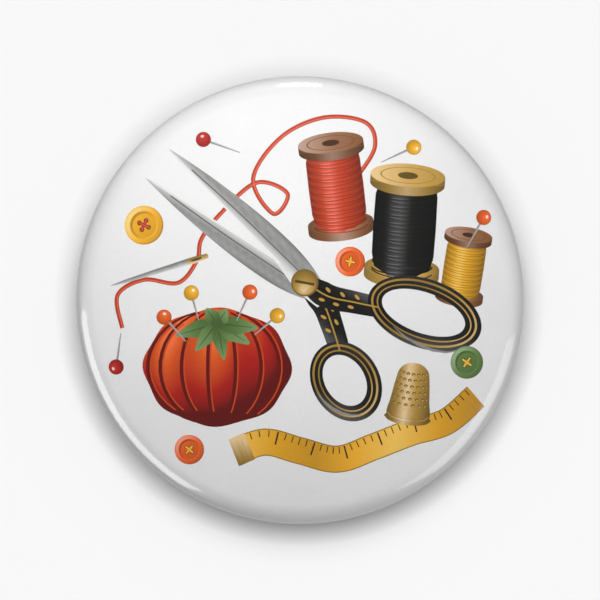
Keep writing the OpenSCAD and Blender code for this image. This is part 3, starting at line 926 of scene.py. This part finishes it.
class BADGE_OT_printed_paper(bpy.types.Operator):
    """Makes the printed paper disc, with its drawing cut into the mesh, wrapped over the shell"""
    bl_idname = "badge.printed_paper"
    bl_label = "Printed paper"

    def execute(self, context):
        sizes = context.scene.badge_body
        inks = context.scene.badge_inks
        top = LayerSection(sizes.film_thickness + sizes.layer_gap)
        under = LayerSection(sizes.film_thickness + sizes.layer_gap + sizes.paper_thickness)
        white = tuple(inks.paper_white)
        sheet = draw_sewing_things(inks)
        edge = top.skirt_run / MM

        points, loops, owners, inks_of = drawing_outlines(sheet, edge, white)
        points += dome_and_roll_points(top.face_run / MM, edge)
        flat, _, triangles, came_from, _, cover = delaunay_2d_cdt(
            [Vector(p) for p in points], [], loops, 1, 1e-5, True)

        verts = []
        normals = []
        for p in flat:
            place, normal = top.point(p.length * MM, math.atan2(p.y, p.x))
            verts.append(place)
            normals.append(normal)
        faces = []
        corner_inks = []
        for triangle, covered_by in zip(triangles, cover):
            solid = {owners[s][0] for s in covered_by if not owners[s][1]}
            cut = {owners[s][0] for s in covered_by if owners[s][1]}
            ink = inks_of[max(solid - cut)]
            faces.append(tuple(triangle))
            corner_inks += [ink(flat[v].x, flat[v].y) for v in triangle]
        flat_places = [(p.x, p.y) for p in flat]

        edge_ring = [0] * ROUND
        for number, sources in enumerate(came_from):
            for source in sources:
                if source < ROUND:
                    edge_ring[source] = number
        back = []
        ring = edge_ring
        for i in range(1, CURL_RINGS + 1):
            run = top.skirt_run + (top.full_run - top.skirt_run) * i / CURL_RINGS
            after = ring_of(top, run, verts, normals)
            flat_places += circle(run / MM, ROUND)
            join_rings(ring, after, back)
            ring = after
        for run in reversed(under.runs(12, 10, 1, CURL_RINGS)):
            after = ring_of(under, run, verts, normals, -1.0)
            flat_places += [None] * ROUND
            join_rings(ring, after, back)
            ring = after
        centre, facing = under.point(0.0, 0.0)
        verts.append(centre)
        normals.append(-facing)
        flat_places.append(None)
        back += [(ring[(i + 1) % ROUND], ring[i], len(verts) - 1) for i in range(ROUND)]
        corner_inks += [white] * sum(len(f) for f in back)
        faces += back

        piece = add_piece("printed_paper", verts, faces, normals, offset_printed_coated_paper())
        mesh = piece.data
        ink_layer = mesh.color_attributes.new("ink", "FLOAT_COLOR", "CORNER")
        ink_layer.data.foreach_set("color", [c for ink in corner_inks for c in (*ink, 1.0)])
        # A chart of the print: the sheet laid out flat, its underside in one corner.
        chart = mesh.uv_layers.new(name="OFBake")
        size = top.full_run / MM * 2.06
        for loop in mesh.loops:
            place = flat_places[loop.vertex_index]
            if place is None:
                v = verts[loop.vertex_index]
                spot = (0.05 + (v.x - top.x) / MM * 0.0015, 0.05 + (v.z - top.z) / MM * 0.0015)
            else:
                spot = (0.5 + place[0] / size, 0.5 + place[1] / size)
            chart.data[loop.index].uv = spot
        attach(piece, "badge")
        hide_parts("printed_disc")
        return {"FINISHED"}


class BADGE_OT_clear_film(bpy.types.Operator):
    """Makes the clear film over the print, gathered in small puckers where it turns round the curl"""
    bl_idname = "badge.clear_film"
    bl_label = "Clear film"

    def execute(self, context):
        outer = LayerSection(0.0)
        inner = LayerSection(context.scene.badge_body.film_thickness)
        verts = []
        normals = []
        faces = []
        top, facing = outer.point(0.0, 0.0)
        verts.append(top)
        normals.append(facing)
        ring = None
        for run in outer.runs(14, 22, 1, CURL_RINGS):
            after = ring_of(outer, run, verts, normals)
            if ring is None:
                faces += [(0, after[i], after[(i + 1) % ROUND]) for i in range(ROUND)]
            else:
                join_rings(ring, after, faces)
            ring = after
        for run in reversed(inner.runs(14, 22, 1, CURL_RINGS)):
            after = ring_of(inner, run, verts, normals, -1.0)
            join_rings(ring, after, faces)
            ring = after
        bottom, facing = inner.point(0.0, 0.0)
        verts.append(bottom)
        normals.append(-facing)
        faces += [(ring[(i + 1) % ROUND], ring[i], len(verts) - 1) for i in range(ROUND)]
        piece = add_piece("film_cover", verts, faces, normals, cast_clear_polyester_film())
        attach(piece, "badge")
        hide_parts("clear_film")
        return {"FINISHED"}


class BADGE_OT_tinplate_parts(bpy.types.Operator):
    """Finishes the front shell and the back plate as bright rolled tinplate"""
    bl_idname = "badge.tinplate_parts"
    bl_label = "Tinplate shell and back plate"

    def execute(self, context):
        finish = context.scene.badge_metal
        # Rolling leaves lines several millimetres long. They are drawn 0.12 mm apart, coarser than the
        # real ones, of some 0.03 mm, so that the plate reads as rolled.
        tin = drawn_metal("rolled_bright_tinplate", finish.tin_colour, finish.tin_roughness,
                          (7, 0.12, 0.12), 0.55)
        for name in ("front_shell", "back_plate"):
            wear(frame["nodes"][name], tin)
        return {"FINISHED"}


class BADGE_OT_pin_wire(bpy.types.Operator):
    """Finishes the bent wire and its point as nickel-plated spring wire"""
    bl_idname = "badge.pin_wire"
    bl_label = "Pin wire"

    def execute(self, context):
        finish = context.scene.badge_metal
        # The die leaves lines along the wire, drawn 0.06 mm apart: coarser than real ones, of some 0.01 mm.
        nickel = drawn_metal("drawn_nickel_plated_wire", finish.nickel_colour, finish.nickel_roughness,
                             (5, 0.06, 0.06), 0.35)
        for name in ("wire_anchor", "wire_hinge", "pin_leg"):
            wear(frame["nodes"][name], nickel)
        return {"FINISHED"}


def wear(node, material):
    """Gives every slot of a CAD node the material."""
    for slot in node.material_slots:
        slot.material = material


class BADGE_OT_stage(bpy.types.Operator):
    """Makes the backdrop board, the camera, the lamps and the even light"""
    bl_idname = "badge.stage"
    bl_label = "Stage"

    def execute(self, context):
        stage = context.scene.badge_stage
        section = LayerSection(0.0)
        middle = Vector((section.x, section.roll_depth, section.z))

        depth = cad_bounds[1][1] + stage.backdrop_gap
        board = bpy.data.meshes.new("backdrop")
        reach = 3.0
        corners = [(-reach, depth, -reach), (reach, depth, -reach),
                   (reach, depth, reach), (-reach, depth, reach)]
        board.from_pydata(corners, [], [(0, 1, 2, 3)])
        board.materials.append(matt_backdrop_board(tuple(stage.backdrop_colour)))
        backdrop = bpy.data.objects.new("backdrop", board)
        context.scene.collection.objects.link(backdrop)
        backdrop.visible_diffuse = False
        backdrop.visible_glossy = False
        backdrop.visible_transmission = False
        backdrop.visible_shadow = False

        camera_data = bpy.data.cameras.new("camera")
        camera_data.lens = stage.lens
        camera_data.sensor_width = 36
        camera_data.clip_start = 0.01
        camera = bpy.data.objects.new("camera", camera_data)
        distance = stage.view_width * stage.lens / 36
        camera.location = middle + Vector((0, -distance, 0))
        camera.rotation_euler = (math.pi / 2, 0, 0)
        context.scene.collection.objects.link(camera)
        context.scene.camera = camera

        on_board = bpy.data.collections.new("lit_board")
        on_board.objects.link(backdrop)
        on_badge = bpy.data.collections.new("lit_badge")
        for piece in context.scene.objects:
            if piece.type == "MESH" and piece is not backdrop:
                on_badge.objects.link(piece)

        on_metal = bpy.data.collections.new("lit_metal")
        for name in ("front_shell", "back_plate", "wire_anchor", "wire_hinge", "pin_leg"):
            on_metal.objects.link(frame["nodes"][name])

        def lamp(name, kind, direction, distance=0.3, power=1.0, size=(0.1, 0.1), only=None, diffuse=True):
            """A lamp that looks at the badge from a direction."""
            data = bpy.data.lights.new(name, kind)
            data.energy = power
            if kind == "AREA":
                data.shape = "RECTANGLE"
                data.size, data.size_y = size
            else:
                data.angle = size[0]
            light = bpy.data.objects.new(name, data)
            towards = Vector(direction).normalized()
            light.location = middle + towards * distance
            light.rotation_euler = towards.to_track_quat("Z", "Y").to_euler()
            light.visible_camera = False
            light.visible_diffuse = diffuse
            if only:
                light.light_linking.receiver_collection = only
            context.scene.collection.objects.link(light)
            return light

        lamp("board_sun", "SUN", (0.02, -0.915, 0.4), 0.5, 2.48, (math.radians(54), 0), on_board)
        face_key = lamp("face_key", "AREA", (-0.009, -0.08, 0.039), 0.0895, stage.key_power,
                        (0.06, 0.04), on_badge)
        face_key.visible_glossy = False
        lamp("crescent_card", "AREA", (-0.84, -0.14, -0.525), 1.0, 10.0, (0.7, 1.1), on_badge, False)
        lamp("top_card", "AREA", (0.0, -0.26, 0.97), 0.3, 0.12, (0.055, 0.1), on_badge, False)
        lamp("right_card", "AREA", (0.75, -0.3, -0.5), 0.3, 0.4, (0.25, 0.25), on_badge, False)
        lamp("back_key", "AREA", (-0.35, 0.75, 0.5), 0.35, 0.3, (0.25, 0.2), on_metal)
        lamp("back_fill", "AREA", (0.7, 0.6, -0.1), 0.35, 0.25, (0.3, 0.3), on_metal)
        face_fill = lamp("face_fill", "AREA", (0.65, -0.6, -0.42), 0.3, 0.165, (0.2, 0.2), on_badge)
        face_fill.visible_glossy = False
        back_soft = lamp("back_soft", "AREA", (-0.2, 0.9, 0.4), 0.35, 0.8, (0.2, 0.2), on_badge)
        back_soft.visible_glossy = False

        world = bpy.data.worlds.new("even_light")
        world.use_nodes = True
        tree = world.node_tree
        tree.nodes.clear()
        ray = add_node(tree, "ShaderNodeLightPath")
        way = add_node(tree, "ShaderNodeTexCoord")
        split = add_node(tree, "ShaderNodeSeparateXYZ", None, None, {"Vector": way.outputs["Generated"]})
        # What gloss sees: a dim room in front, and behind it a pale one, brighter above than below.
        height = add_node(tree, "ShaderNodeMapRange", None,
                          {"From Min": -0.6, "From Max": 0.8, "To Min": 0.76, "To Max": 0.92},
                          {"Value": split.outputs["Z"]})
        front = add_node(tree, "ShaderNodeMapRange", None,
                         {"From Min": -0.9, "From Max": 0.1, "To Min": 0.12, "To Max": 1.0},
                         {"Value": split.outputs["Y"]})
        behind = add_node(tree, "ShaderNodeMapRange", None,
                          {"From Min": 0.1, "From Max": 0.95, "To Min": 1.0, "To Max": 0.62},
                          {"Value": split.outputs["Y"]})
        sides = add_node(tree, "ShaderNodeMath", {"operation": "MULTIPLY"}, None,
                         {0: behind.outputs["Result"], 1: front.outputs["Result"]})
        room = add_node(tree, "ShaderNodeMath", {"operation": "MULTIPLY"}, None,
                        {0: height.outputs["Result"], 1: sides.outputs["Value"]})
        gloss = add_node(tree, "ShaderNodeMix", {"data_type": "FLOAT"}, {2: stage.fill},
                         {0: ray.outputs["Is Glossy Ray"], 3: room.outputs["Value"]})
        pale = stage.backdrop_colour[0]
        seen = add_node(tree, "ShaderNodeMix", {"data_type": "FLOAT"}, {3: pale},
                        {0: ray.outputs["Is Camera Ray"], 2: gloss.outputs[0]})
        light = add_node(tree, "ShaderNodeBackground", None, {"Color": (1, 1, 1, 1)},
                         {"Strength": seen.outputs[0]})
        add_node(tree, "ShaderNodeOutputWorld", None, None, {"Surface": light.outputs["Background"]})
        context.scene.world = world
        context.scene.view_settings.view_transform = "Standard"
        return {"FINISHED"}


class BADGE_PT_parts(bpy.types.Panel):
    """Lists the badge's operators and their sizes"""
    bl_idname = "BADGE_PT_parts"
    bl_label = "Button badge"
    bl_space_type = "VIEW_3D"
    bl_region_type = "UI"
    bl_category = "Badge"

    def draw(self, context):
        for group in ("badge_body", "badge_inks", "badge_metal", "badge_stage"):
            settings = getattr(context.scene, group)
            column = self.layout.column()
            for name in settings.__annotations__:
                column.prop(settings, name)
        for operator in OPERATORS:
            self.layout.operator(operator.bl_idname)


OPERATORS = (
    BADGE_OT_printed_paper,
    BADGE_OT_clear_film,
    BADGE_OT_tinplate_parts,
    BADGE_OT_pin_wire,
    BADGE_OT_stage,
)
CLASSES = (BadgeBodySizes, PrintInks, MetalFinish, StageSettings, *OPERATORS, BADGE_PT_parts)


def register():
    """Registers the classes and hangs their settings on the scene."""
    for cls in CLASSES:
        bpy.utils.register_class(cls)
    bpy.types.Scene.badge_body = PointerProperty(type=BadgeBodySizes)
    bpy.types.Scene.badge_inks = PointerProperty(type=PrintInks)
    bpy.types.Scene.badge_metal = PointerProperty(type=MetalFinish)
    bpy.types.Scene.badge_stage = PointerProperty(type=StageSettings)


def unregister():
    """Takes the settings and the classes away."""
    del bpy.types.Scene.badge_body
    del bpy.types.Scene.badge_inks
    del bpy.types.Scene.badge_metal
    del bpy.types.Scene.badge_stage
    for cls in reversed(CLASSES):
        bpy.utils.unregister_class(cls)


def main():
    """Registers the classes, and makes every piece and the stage."""
    register()
    bpy.ops.badge.printed_paper()
    bpy.ops.badge.clear_film()
    bpy.ops.badge.tinplate_parts()
    bpy.ops.badge.pin_wire()
    bpy.ops.badge.stage()


if __name__ == "__main__":
    main()
